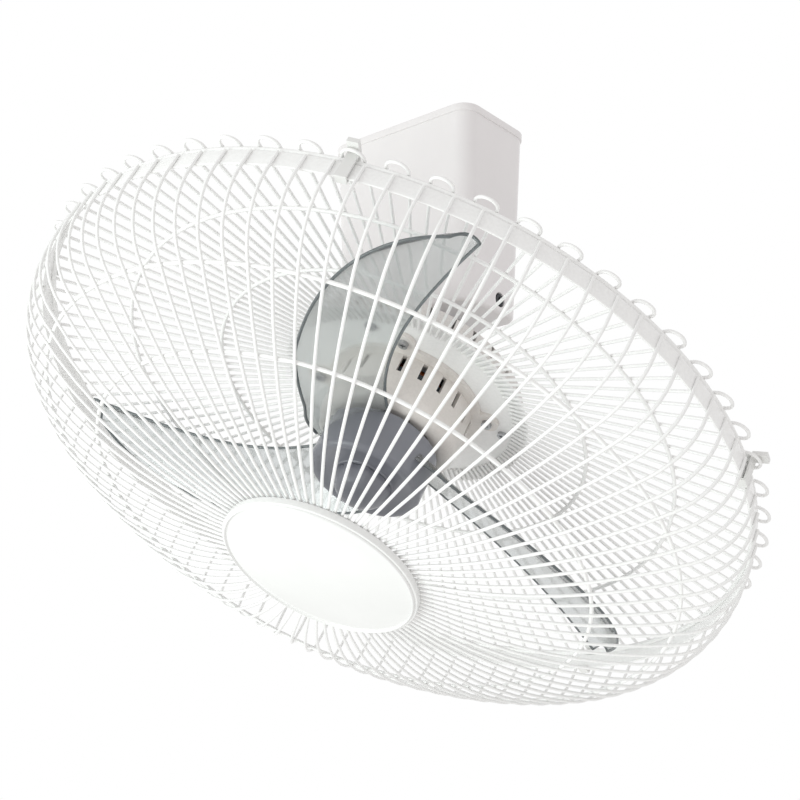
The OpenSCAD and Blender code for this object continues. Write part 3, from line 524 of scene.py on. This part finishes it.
def copper_wire():
    """Enamelled copper wire, wound: warm brown red, with turns drawn 0.8 mm apart."""
    material, tree, shader, place = start_material("enamelled_copper", "#a8562c", 0.3, 0.85)
    turns = add(tree, "ShaderNodeTexWave", {"Scale": bands(0.8, 10 * math.sqrt(3)),
                                            "Distortion": 1.0, "bands_direction": "DIAGONAL"},
                Vector=(place, "Object"))
    tint = between(tree, turns, "Fac", "#6e3115", "#c06a3a", 0.2, 0.8)
    coloured(tree, shader, tint)
    relief(tree, shader, turns, "Fac", 0.2, 0.6)
    return material


def sintered_bronze():
    """Oil-filled sintered bronze: dull gold with pores."""
    material, tree, shader, place = start_material("bearing_bronze", "#b07a45", 0.45, 1.0)
    pores = add(tree, "ShaderNodeTexVoronoi", {"Scale": 1000.0 / 0.6}, Vector=(place, "Object"))
    tint = between(tree, pores, "Distance", "#7d5430", "#b98350", 0.05, 0.4)
    coloured(tree, shader, tint)
    return material


def black_rubber():
    """Moulded rubber: matt black with a dusty bloom."""
    material, tree, shader, place = start_material("black_rubber", "#26272a", 0.7)
    bloom = grain(tree, place, 5.0)
    tint = between(tree, bloom, "Fac", "#1f2023", "#34363a")
    coloured(tree, shader, tint)
    return material


# ---------------------------------------------------------------- the head's pieces

def cap_profile():
    """Section of the cap: a shallow dome, a rolled edge with a fine step, and a hollow back."""
    low = FACE_Z + WIRE_R + CAP_GAP
    rim = CAP_R - CAP_STEP
    dome_h = CAP_H - CAP_SIDE
    ball = (rim ** 2 + dome_h ** 2) / (2 * dome_h)
    middle = 0.02                   # a turned section can't quite reach the axis
    r = np.linspace(middle, rim - CAP_FILLET, 26)
    dome = np.stack([r, low + CAP_H - ball + np.sqrt(ball ** 2 - r ** 2)], 1)
    shoulder = arc((rim - CAP_FILLET, low + CAP_SIDE + 0.3), CAP_FILLET, 62, 0, 6)
    top_r, foot_r = 0.5, 0.3
    side = [[rim, low + CAP_SIDE]]
    side += arc((CAP_R - top_r, low + CAP_SIDE - top_r), top_r, 90, 0, 5).tolist()
    foot = arc((CAP_R - foot_r, low + foot_r), foot_r, 0, -90, 4).tolist()
    inside = [[CAP_R - 2.5, low], [CAP_R - 2.7, low + 2.0],
              [CAP_R - 4.5, low + CAP_HOLLOW], [middle, low + CAP_HOLLOW]]
    return np.concatenate([dome, shoulder, side, foot, inside])


def band_profile():
    """Section of the rim band: a flat strip with rolled edges."""
    r = BAND_EDGE_R
    inner, outer = BAND_R - BAND_T, BAND_R
    corners = [((outer - r, BAND_Z + BAND_H - r), 0), ((inner + r, BAND_Z + BAND_H - r), 90),
               ((inner + r, BAND_Z + r), 180), ((outer - r, BAND_Z + r), 270)]
    return np.concatenate([arc(centre, r, first, first + 90, 5) for centre, first in corners])


def blade_outline(x):
    """Leading and trailing edge of a blade at x, measured across it.
    The trailing edge swells out of the hub, is widest at WIDEST_X and rounds off to the tip like
    an ellipse of power 2.4. The leading edge follows the hub's wall, then it is hollow like half
    a sine wave and sweeps forward with the power 2.2 of its share of the length."""
    def swell(at):
        return CHORD - ROOT_NARROWING * np.clip((WIDEST_X - at) / WIDEST_X, 0, 1) ** 1.4

    rise = np.sin(np.pi / 2 * np.clip((x - BLADE_IN) / (HUB_R - BLADE_IN), 0, 1)) ** 0.8
    root = HUB_R - ROOT_SINK + (swell(HUB_R) - HUB_R + ROOT_SINK) * rise
    out = ((x - WIDEST_X).clip(0) / (TIP_R + TIP_OVER - WIDEST_X)).clip(0, 1)
    end = (CHORD + SWEEP) * np.sqrt(1 - out ** 2.4) - SWEEP
    trailing = np.where(x < HUB_R, root, np.where(x < WIDEST_X, swell(x), end))
    wall = HUB_R - WALL_SINK
    share = np.clip((x - wall) / (TIP_R - wall), 0, 1)
    leading = np.where(x < wall, np.sqrt(np.clip(wall ** 2 - x ** 2, 0, None)),
                       HOLLOW * np.sin(np.pi * share ** 0.8) - SWEEP * share ** 2.2)
    return leading, np.maximum(trailing, leading + 0.3)


def blade_points(x, t):
    """Middle surface of a blade, at t of the way from its leading to its trailing edge.
    Its height is BLADE_Z, plus the distance from the chord's middle times the tangent of the
    pitch, less four times the camber times t times (1 - t). The pitch falls evenly to the tip."""
    leading, trailing = blade_outline(x)
    y = leading + (trailing - leading) * t
    share = np.clip((x - HUB_R) / (TIP_R - HUB_R), 0, 1)
    pitch = np.radians(ROOT_PITCH + (TIP_PITCH - ROOT_PITCH) * share)
    z = BLADE_Z + (y - CHORD / 2) * np.tan(pitch) - 4 * CAMBER * t * (1 - t)
    return np.stack([x, y, z], -1)


def stations(start, stop, count):
    """Places along a blade, closer together towards its tip."""
    return start + (stop - start) * np.sin(np.pi / 2 * np.linspace(0, 1, count) ** 0.9)


def blade_surface():
    """A closed leaf: out across its rear face and back across its front face at each station,
    with a thickness that falls from half of BLADE_T on each side to a fifth at the edges."""
    size = (64, 21)
    x = stations(BLADE_IN, TIP_R - 0.6, size[0])[:, None]
    t = (1 - np.cos(np.pi * np.linspace(0, 1, size[1])))[None, :] / 2
    middle = blade_points(np.broadcast_to(x, size), np.broadcast_to(t, size))
    half = BLADE_T * (0.2 + 0.3 * np.sin(np.pi * t) ** 0.6)
    half = np.broadcast_to(half, size)[..., None] * [0, 0, 1]
    loops = np.concatenate([middle - half, (middle + half)[:, ::-1]], 1)
    return lofted(loops)


def blade_bead():
    """The rolled edge of a blade: a round section carried along its outline, from the root
    round the tip and back to the root."""
    x = stations(BLADE_IN + 5, TIP_R - 0.7, 70)
    across = np.linspace(0, 1, 11)[1:-1]
    out = blade_points(x, np.zeros_like(x))
    tip = blade_points(np.full_like(across, x[-1]), across)
    back = blade_points(x[::-1], np.ones_like(x))
    path = np.concatenate([out, tip, back])
    tangent = np.gradient(path, axis=0)
    tangent /= np.linalg.norm(tangent, axis=1, keepdims=True)
    side = np.cross(tangent, [0, 0, 1.0])
    side /= np.linalg.norm(side, axis=1, keepdims=True)
    rise = np.cross(side, tangent)
    a = np.linspace(0, 2 * np.pi, 10, endpoint=False)[None, :, None]
    loops = path[:, None] + BEAD_R * (np.cos(a) * side[:, None] + np.sin(a) * rise[:, None])
    return lofted(loops)


def turned_about_axis(points, degrees):
    """Points turned about the fan's axis."""
    a = math.radians(degrees)
    turn = np.array([[math.cos(a), -math.sin(a), 0], [math.sin(a), math.cos(a), 0], [0, 0, 1]])
    return points @ turn.T


def hub_profile():
    """Section of the hub: a plain wall with a rolled front edge and a shallow dished face."""
    low, high = HUB_Z
    dish = high - HUB_DISH
    edge = arc((HUB_R - HUB_EDGE_R, high - HUB_EDGE_R), HUB_EDGE_R, 0, 90, 9)
    face = [[HUB_R - 5, high], [HUB_R - 6.5, dish], [SPINNER_R + 0.8, dish],
            [SPINNER_R + 0.2, high], [HUB_BORE_R, high]]
    back = [[HUB_BORE_R, low + 1], [HUB_HOLLOW_R, low + 1], [HUB_HOLLOW_R, low]]
    return np.concatenate([[[HUB_R, low]], edge, face, back])


def spinner_surface():
    """The spinner that holds the blades: a dome whose skirt has ten scallops for the fingers.
    The radius is the profile's, less the depth times the cosine of ten times the angle where
    that is above zero, and the depth fades out towards the top."""
    base = HUB_Z[1] + SEAT
    ball = (SPINNER_R ** 2 + SPINNER_DOME ** 2) / (2 * SPINNER_DOME)
    middle = 0.03
    skirt_z = np.array([0.4, 1.4, 2.4, 3.0])
    dome_r = np.linspace(SPINNER_R, middle, 16)[1:]
    dome_z = skirt_z[-1] + SPINNER_DOME - ball + np.sqrt(ball ** 2 - dome_r ** 2)
    r = np.concatenate([[SPINNER_R - 0.6], np.full(4, SPINNER_R), dome_r])[:, None]
    z = np.concatenate([[0.0], skirt_z, dome_z])[:, None]
    a = np.linspace(0, 2 * np.pi, 160, endpoint=False)[None, :]
    scallop = np.clip(np.cos(SCALLOPS * a), 0, 1) ** 0.7
    depth = SCALLOP_DEPTH * scallop * np.clip(1 - (z / SCALLOP_FADE) ** 2, 0, 1)
    radius = np.clip(r - depth * (r > 3), middle, None)
    height = base + np.broadcast_to(z, radius.shape)
    return lofted(np.stack([radius * np.cos(a), radius * np.sin(a), height], -1))


def canopy_surface():
    """The boxed canopy: up the inside, over the top edge, down past the brim and the drafted
    walls, and round the foot's edge. Each loop is the canopy's rounded rectangle at that height."""
    length, width, height = CANOPY
    top, brim = -0.5, -BRIM_H

    def loop(z, inset, corner_in):
        in_by = DRAFT * (-z / height) + inset
        return rounded_loop(length / 2 - in_by, width / 2 - in_by, CORNER_R - corner_in, z)

    inside = [(z, BRIM_STEP + SHELL_T, SHELL_T) for z in (-height + SHELL_T, top)]
    edge = [(top - drop, inset, inset) for drop, inset in ((0, 0.5), (0.15, 0.15), (0.5, 0))]
    edge += [(brim + rise, inset, inset) for rise, inset in ((0.4, 0), (0.1, 0.1), (0, 0.4))]
    edge += [(brim - drop, BRIM_STEP, BRIM_STEP) for drop in (0.1, 0.6)]
    foot = []
    for a in np.radians(np.linspace(0, 90, 8)):
        away = BRIM_STEP + FOOT_R * (1 - math.cos(a))
        foot.append((-height + FOOT_R * (1 - math.sin(a)), away, away))
    return lofted([loop(*place) for place in inside + edge + foot])


def cut_by(piece, cutters, sharp=32.0):
    """Takes closed cutters out of a piece and keeps the result as its mesh."""
    for cutter in cutters:
        cut = piece.modifiers.new("cut", "BOOLEAN")
        cut.object, cut.operation, cut.solver = cutter, "DIFFERENCE", "EXACT"
    bpy.context.view_layer.update()
    graph = bpy.context.evaluated_depsgraph_get()
    done = bpy.data.meshes.new_from_object(piece.evaluated_get(graph))
    piece.modifiers.clear()
    piece.data = done
    done.set_sharp_from_angle(angle=math.radians(sharp))
    for cutter in cutters:
        bpy.data.objects.remove(cutter)


def round_cutter(centre, axis, radius, length, turns=48):
    """A closed cylinder from a centre along a unit axis, drawn under the ceiling."""
    axis = np.array(axis, float)
    off_axis = [0.3, 0.5, 0.8]
    side = np.cross(axis, off_axis)
    side /= np.linalg.norm(side)
    a = np.linspace(0, 2 * np.pi, turns, endpoint=False)[:, None]
    ring = np.array(centre) + radius * (np.cos(a) * side + np.sin(a) * np.cross(axis, side))
    points, faces = lofted([at_ceiling(ring), at_ceiling(ring + axis * length)])
    return in_scene("cutter", closed_mesh("cutter", points, faces))


def smoothed(node, finish, sharp=30.0):
    """A CAD node's own shape, merged and smooth-shaded between its sharp edges."""
    source = frame["nodes"][node]
    same_point, no_length = 2e-6, 1e-6
    mesh = source.data.copy()
    shape = bmesh.new()
    shape.from_mesh(mesh)
    bmesh.ops.remove_doubles(shape, verts=shape.verts, dist=same_point)
    bmesh.ops.dissolve_degenerate(shape, edges=shape.edges, dist=no_length)
    shape.to_mesh(mesh)
    shape.free()
    if "custom_normal" in mesh.attributes:
        mesh.attributes.remove(mesh.attributes["custom_normal"])
    mesh.shade_smooth()
    mesh.set_sharp_from_angle(angle=math.radians(sharp))
    mesh.materials.clear()
    mesh.materials.append(finish)
    piece = in_scene(node + "_finished", mesh)
    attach(piece, source["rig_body"])
    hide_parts(node)
    return piece


# ---------------------------------------------------------------- making

coat = powder_coat("white_powder_coat", "#fdfdfc", "#f8f8f7")
bell_coat = powder_coat("warm_grey_coat", "#eae5e0", "#e5e0db")
canopy_abs = gloss_abs("white_canopy_abs", "#efecec", "#ece9e9", 0.22)
cap_abs = gloss_abs("white_cap_abs", "#f3f3f2", "#f0f0ef", 0.12)
clip_abs = gloss_abs("white_clip_nylon", "#f0f0ee", "#e6e6e4", 0.35)
cover_pp = spark_plastic("white_cover_pp", "#e4e1dd", "#d9d6d2")
blade_san = smoke_san("smoke_blade_san", "#dee1e1", 0.9)
edge_san = smoke_san("smoke_edge_san", "#858c8e", 0.45)
hub_san = smoke_san("smoke_hub_san", "#9a9ca5", 0.35, 0.25)
zinc = zinc_sheet()
alloy = die_cast()
steel = turned_metal("ground_steel", "#c9ccd0", "#aeb2b7", 0.18)
plated = turned_metal("zinc_plated_steel", "#c2c4c6", "#a5a8ab", 0.3)
dark_steel = turned_metal("blackened_steel", "#4b4c4f", "#333437", 0.38)
can_steel = turned_metal("passivated_can", "#c8c3b0", "#b2ac97", 0.35)
core = laminations()
copper = copper_wire()
bronze = sintered_bronze()
rubber = black_rubber()
ivory = spark_plastic("ivory_nylon", "#e9e2cb", "#ddd5bc")
case_pp = spark_plastic("capacitor_case_pp", "#e6e6e1", "#d8d8d2")
acetal = spark_plastic("natural_acetal", "#efece0", "#e4e0d2")

points, faces = wires(swept_wire(front_wire_path(), np.array([0, 1.0, 0]), WIRE_R), FRONT_WIRES)
front_wires = make_piece("front_guard_wires_round", in_head(points), faces, coat, "head", 60)
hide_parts("front_guard_wires")

tilted = np.array([-math.sin(REAR_SLOPE), 0, math.cos(REAR_SLOPE)])
points, faces = wires(swept_wire(hairpin_path(), tilted, WIRE_R), REAR_HAIRPINS)
rear_wires = make_piece("rear_guard_hairpins", in_head(points), faces, coat, "head", 60)
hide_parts("rear_guard_wires")

lift = (WIRE_R + HOOP_WIRE_R - WELD) / math.cos(REAR_SLOPE)
rear_rings = [(r, CONE_APEX + r * math.tan(REAR_SLOPE) + lift, HOOP_WIRE_R) for r in REAR_HOOPS]
points, faces = torus_rings(rear_rings + [(RIM_RING_R, RIM_RING_Z, RIM_WIRE_R)])
rear_hoops = make_piece("rear_guard_rings", in_head(points), faces, coat, "head", 60)
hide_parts("rear_guard_hoops")

reach = WIDE_R - WIRE_R - HOOP_WIRE_R + WELD
front_rings = []
for r in FRONT_HOOPS:
    away = math.acos((r - WIDE_CENTRE[0]) / WIDE_R)
    front_rings.append((WIDE_CENTRE[0] + reach * math.cos(away),
                        WIDE_CENTRE[1] + reach * math.sin(away), HOOP_WIRE_R))
points, faces = torus_rings(front_rings)
front_hoops = make_piece("front_guard_rings", in_head(points), faces, coat, "head", 60)
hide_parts("front_guard_hoops")

points, faces = revolved(band_profile(), 240)
band = make_piece("rim_band_rolled", in_head(points), faces, coat, "head", 50)
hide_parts("front_rim_band")

points, faces = revolved(cap_profile(), 160)
cap = make_piece("center_cap_moulded", in_head(points), faces, cap_abs, "head", 35)
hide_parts("center_cap")

blade_turns = [BLADE_FIRST + number * 360.0 / BLADES for number in range(BLADES)]
points, faces = blade_surface()
for number, degrees in enumerate(blade_turns, 1):
    placed = in_head(turned_about_axis(points, degrees))
    blade = make_piece(f"blade_{number}", placed, faces, blade_san, "rotor", 50)
    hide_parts("fan_blades")
points, faces = blade_bead()
for number, degrees in enumerate(blade_turns, 1):
    placed = in_head(turned_about_axis(points, degrees))
    bead = make_piece(f"blade_edge_{number}", placed, faces, edge_san, "rotor", 60)
points, faces = revolved(hub_profile(), 120)
hub = make_piece("blade_hub", in_head(points), faces, hub_san, "rotor", 35)
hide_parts("fan_blades")
points, faces = spinner_surface()
spinner = make_piece("spinner_scalloped", in_head(points), faces, hub_san, "rotor", 50)
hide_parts("spinner_nut")

points, faces = canopy_surface()
canopy = make_piece("canopy_moulded", at_ceiling(points), faces, canopy_abs, "mount", 32)
cutters = [round_cutter((0, 0, -CANOPY[2] - 2), (0, 0, 1), CUP_R + CUP_GAP, 3 * SHELL_T, 96)]
for s in (-1, 1):
    screw = (s * (FRAME_L / 2 - 1), s * CANOPY_SCREW[0], CANOPY_SCREW[1])
    cutters.append(round_cutter(screw, (s, 0, 0), RECESS_R, 20))
cut_by(canopy, cutters)
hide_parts("canopy_cover")

finishes = {
    "ceiling_plate": zinc, "cable_grommet": rubber, "hanger_frame": zinc, "frame_rivets": plated,
    "canopy_screws": dark_steel, "socket_housing": alloy, "socket_bolts": plated,
    "socket_retainer": alloy, "retainer_screws": plated, "swing_motor": can_steel,
    "swing_motor_screws": plated, "terminal_block": ivory, "run_capacitor": case_pp,
    "capacitor_clip": zinc, "crank_disc": acetal, "crank_bush": bronze, "swing_shaft": steel,
    "crank_screw": dark_steel, "pivot_ball": steel, "guide_pin": steel, "neck_screws": dark_steel,
    "rear_cover": cover_pp, "rear_cover_screws": plated, "rear_end_bell": alloy,
    "front_end_bell": bell_coat, "end_bell_screws": plated, "rear_bearing_bush": bronze,
    "front_bearing_bush": bronze, "stator_core": core, "stator_windings": copper,
    "rear_guard_plate": coat, "front_boss_disc": coat, "rim_clips": clip_abs,
    "motor_shaft": steel, "rotor_core": core, "drive_pin": steel,
}
for node, finish in finishes.items():
    smoothed(node, finish)


# ---------------------------------------------------------------- floor, light and camera

FLOOR_Z = -2.4
FLOOR_HALF = 40.0
FAN_MIDDLE = (0, 0, -0.17)

# The camera, fitted to the rim, the cap and the canopy's corners in the photo.
EYE = (0.5581, -0.7043, -0.4504)
TURN, RISE, ROLL = 39.40, 17.56, -0.70
PHOTO_WIDTH_PX = 800
PHOTO_FOCAL_PX = 1618
SENSOR_MM = 36.0


def pale_floor():
    """A matt pale floor at the height of a room's, far under the fan."""
    mesh = bpy.data.meshes.new("floor")
    corners = [(sx * FLOOR_HALF, sy * FLOOR_HALF, FLOOR_Z)
               for sx, sy in ((-1, -1), (1, -1), (1, 1), (-1, 1))]
    mesh.from_pydata(corners, [], [(0, 1, 2, 3)])
    material, tree, shader, place = start_material("pale_floor", "#fbfbfa", 0.9)
    cloud = grain(tree, place, 400.0)
    tint = between(tree, cloud, "Fac", "#f9f9f8", "#fcfcfb")
    coloured(tree, shader, tint)
    mesh.materials.append(material)
    floor = in_scene("floor", mesh)


def soft_room():
    """White where the camera, a reflection or a clear piece looks, and a plain grey light else."""
    world = bpy.data.worlds.new("soft_room")
    bpy.context.scene.world = world
    world.use_nodes = True
    tree = world.node_tree
    tree.nodes.clear()
    path = add(tree, "ShaderNodeLightPath")
    either = add(tree, "ShaderNodeMath", {"operation": "MAXIMUM"})
    tree.links.new(path.outputs["Is Camera Ray"], either.inputs[0])
    tree.links.new(path.outputs["Is Glossy Ray"], either.inputs[1])
    seen = add(tree, "ShaderNodeMath", {"operation": "MAXIMUM"})
    tree.links.new(either.outputs[0], seen.inputs[0])
    tree.links.new(path.outputs["Is Transmission Ray"], seen.inputs[1])
    light = add(tree, "ShaderNodeBackground", {"Color": (1, 0.982, 0.982, 1), "Strength": 0.75})
    white = add(tree, "ShaderNodeBackground", {"Color": (1, 1, 1, 1), "Strength": 1.0})
    mix = add(tree, "ShaderNodeMixShader")
    tree.links.new(seen.outputs[0], mix.inputs[0])
    tree.links.new(light.outputs[0], mix.inputs[1])
    tree.links.new(white.outputs[0], mix.inputs[2])
    add(tree, "ShaderNodeOutputWorld", Surface=(mix, "Shader"))


def softbox(name, place, power, size, colour):
    """A square lamp that faces the middle of the fan."""
    lamp = bpy.data.lights.new(name, "AREA")
    lamp.energy, lamp.size, lamp.color = power, size, colour
    holder = in_scene(name, lamp)
    holder.location = place
    aim = Vector(FAN_MIDDLE) - Vector(place)
    holder.rotation_euler = aim.to_track_quat("-Z", "Y").to_euler()


def photo_camera():
    """The camera: turned about the upright, then raised, then rolled about its own line."""
    turn, rise, roll = (math.radians(angle) for angle in (TURN, RISE, ROLL))
    right = np.array([math.cos(turn), math.sin(turn), 0])
    level = np.array([-math.sin(turn), math.cos(turn), 0])
    forward = math.cos(rise) * level + math.sin(rise) * np.array([0, 0, 1])
    down = math.sin(rise) * level - math.cos(rise) * np.array([0, 0, 1])
    right, down = (math.cos(roll) * right + math.sin(roll) * down,
                   -math.sin(roll) * right + math.cos(roll) * down)
    lens = bpy.data.cameras.new("photo_camera")
    lens.sensor_width, lens.lens = SENSOR_MM, SENSOR_MM * PHOTO_FOCAL_PX / PHOTO_WIDTH_PX
    lens.clip_start, lens.clip_end = 0.01, 60.0
    camera = in_scene("photo_camera", lens)
    pose = Matrix(np.stack([right, -down, -forward], 1).tolist()).to_4x4()
    pose.translation = Vector(EYE)
    camera.matrix_world = pose
    bpy.context.scene.camera = camera


pale_floor()
soft_room()
softbox("key_left", (-0.9, -1.9, -0.9), 27.0, 1.6, (0.91, 1.0, 0.97))
softbox("fill_below", (0.5, -0.8, -1.9), 3.0, 1.8, (1.0, 1.0, 1.0))
photo_camera()
bpy.context.scene.view_settings.view_transform = "Standard"
